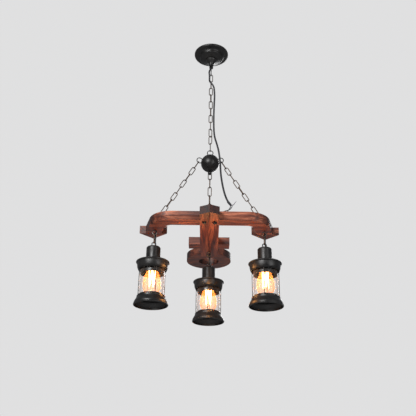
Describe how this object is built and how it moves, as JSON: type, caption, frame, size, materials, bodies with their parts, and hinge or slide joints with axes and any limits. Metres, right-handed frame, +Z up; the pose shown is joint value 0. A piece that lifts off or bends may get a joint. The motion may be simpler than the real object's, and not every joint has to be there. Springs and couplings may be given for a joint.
{
  "type": "anchor chandelier with lanterns",
  "caption": "Flat timber ship's anchor hung level on chains from a ball and a ceiling canopy, with glass lanterns hung under its arms and shank.",
  "frame": {"origin": "centre of the canopy's ceiling face, midway between the two ceiling screws", "axes": "+Z up to the ceiling, the anchor's crown towards -Y and its ring towards +Y, +X to the right of a viewer in front of the crown"},
  "size_m": [0.436, 0.484, 0.9648],
  "materials": {
    "black_iron": "satin",
    "chain_bronze": "satin",
    "zinc": "satin",
    "brass": "satin",
    "eye_steel": "satin",
    "wood_red": "satin",
    "wood_dark": "satin",
    "dowel_wood": "matte",
    "black_cord": "matte",
    "lamp_holder": "satin",
    "clear_glass": "gloss",
    "bulb_glass": "gloss"
  },
  "bodies": {
    "canopy": {"mounting_bracket": "zinc", "canopy_cover": "black_iron", "canopy_nipple": "brass", "nipple_nuts": "brass", "canopy_nozzle": "black_iron", "canopy_loop": "black_iron", "cord_top": "black_cord"},
    "upper_link": {"top_link": "chain_bronze", "cord_link": "black_cord"},
    "pendant": {"centre_chain": "chain_bronze", "ball": "black_iron", "ball_rings": "black_iron", "ball_knob": "black_iron", "side_chain_left": "chain_bronze", "side_chain_right": "chain_bronze", "rear_chain": "chain_bronze", "top_eyes": "eye_steel", "shank": "wood_dark", "arm_left": "wood_red", "arm_right": "wood_red", "fluke_left": "wood_red", "fluke_right": "wood_red", "stock": "wood_dark", "ring": "wood_dark", "crown_bolts": "black_iron", "lap_dowels": "dowel_wood", "lamp_eyes": "eye_steel", "power_cord": "black_cord", "supply_leads": "black_cord"},
    "link_left": {"link_left": "chain_bronze", "lead_left": "black_cord"},
    "lantern_left": {"loop_left": "black_iron", "cover_left": "black_iron", "socket_left": "lamp_holder", "collar_left": "black_iron", "glass_left": "clear_glass", "rods_left": "black_iron", "base_left": "black_iron"},
    "bulb_left": {"bulb_left": "bulb_glass"},
    "link_right": {"link_right": "chain_bronze", "lead_right": "black_cord"},
    "lantern_right": {"loop_right": "black_iron", "cover_right": "black_iron", "socket_right": "lamp_holder", "collar_right": "black_iron", "glass_right": "clear_glass", "rods_right": "black_iron", "base_right": "black_iron"},
    "bulb_right": {"bulb_right": "bulb_glass"},
    "link_middle": {"link_middle": "chain_bronze", "lead_middle": "black_cord"},
    "lantern_middle": {"loop_middle": "black_iron", "cover_middle": "black_iron", "socket_middle": "lamp_holder", "collar_middle": "black_iron", "glass_middle": "clear_glass", "rods_middle": "black_iron", "base_middle": "black_iron"},
    "bulb_middle": {"bulb_middle": "bulb_glass"}
  },
  "joints": [
    {"name": "canopy_swing", "type": "hinge", "parent": "canopy", "child": "upper_link", "pos_m": [0, 0, -0.095], "axis": [0, 1, 0], "range_deg": [-20, 20]},
    {"name": "chain_swing", "type": "hinge", "parent": "upper_link", "child": "pendant", "pos_m": [0, 0, -0.1236], "axis": [1, 0, 0], "range_deg": [-20, 20]},
    {"name": "eye_swing_left", "type": "hinge", "parent": "pendant", "child": "link_left", "pos_m": [-0.167, -0.064, -0.74291], "axis": [1, 0, 0], "range_deg": [-12, 12]},
    {"name": "lantern_swing_left", "type": "hinge", "parent": "link_left", "child": "lantern_left", "pos_m": [-0.167, -0.064, -0.77151], "axis": [0, 1, 0], "range_deg": [-12, 12]},
    {"name": "bulb_turn_left", "type": "hinge", "parent": "lantern_left", "child": "bulb_left", "pos_m": [-0.167, -0.064, -0.81781], "axis": [0, 0, 1], "range_deg": [0, 900]},
    {"name": "eye_swing_right", "type": "hinge", "parent": "pendant", "child": "link_right", "pos_m": [0.167, -0.064, -0.74291], "axis": [1, 0, 0], "range_deg": [-12, 12]},
    {"name": "lantern_swing_right", "type": "hinge", "parent": "link_right", "child": "lantern_right", "pos_m": [0.167, -0.064, -0.77151], "axis": [0, 1, 0], "range_deg": [-12, 12]},
    {"name": "bulb_turn_right", "type": "hinge", "parent": "lantern_right", "child": "bulb_right", "pos_m": [0.167, -0.064, -0.81781], "axis": [0, 0, 1], "range_deg": [0, 900]},
    {"name": "eye_swing_middle", "type": "hinge", "parent": "pendant", "child": "link_middle", "pos_m": [0, 0.116, -0.74291], "axis": [1, 0, 0], "range_deg": [-12, 12]},
    {"name": "lantern_swing_middle", "type": "hinge", "parent": "link_middle", "child": "lantern_middle", "pos_m": [0, 0.116, -0.77151], "axis": [0, 1, 0], "range_deg": [-12, 12]},
    {"name": "bulb_turn_middle", "type": "hinge", "parent": "lantern_middle", "child": "bulb_middle", "pos_m": [0, 0.116, -0.81781], "axis": [0, 0, 1], "range_deg": [0, 900]}
  ]
}
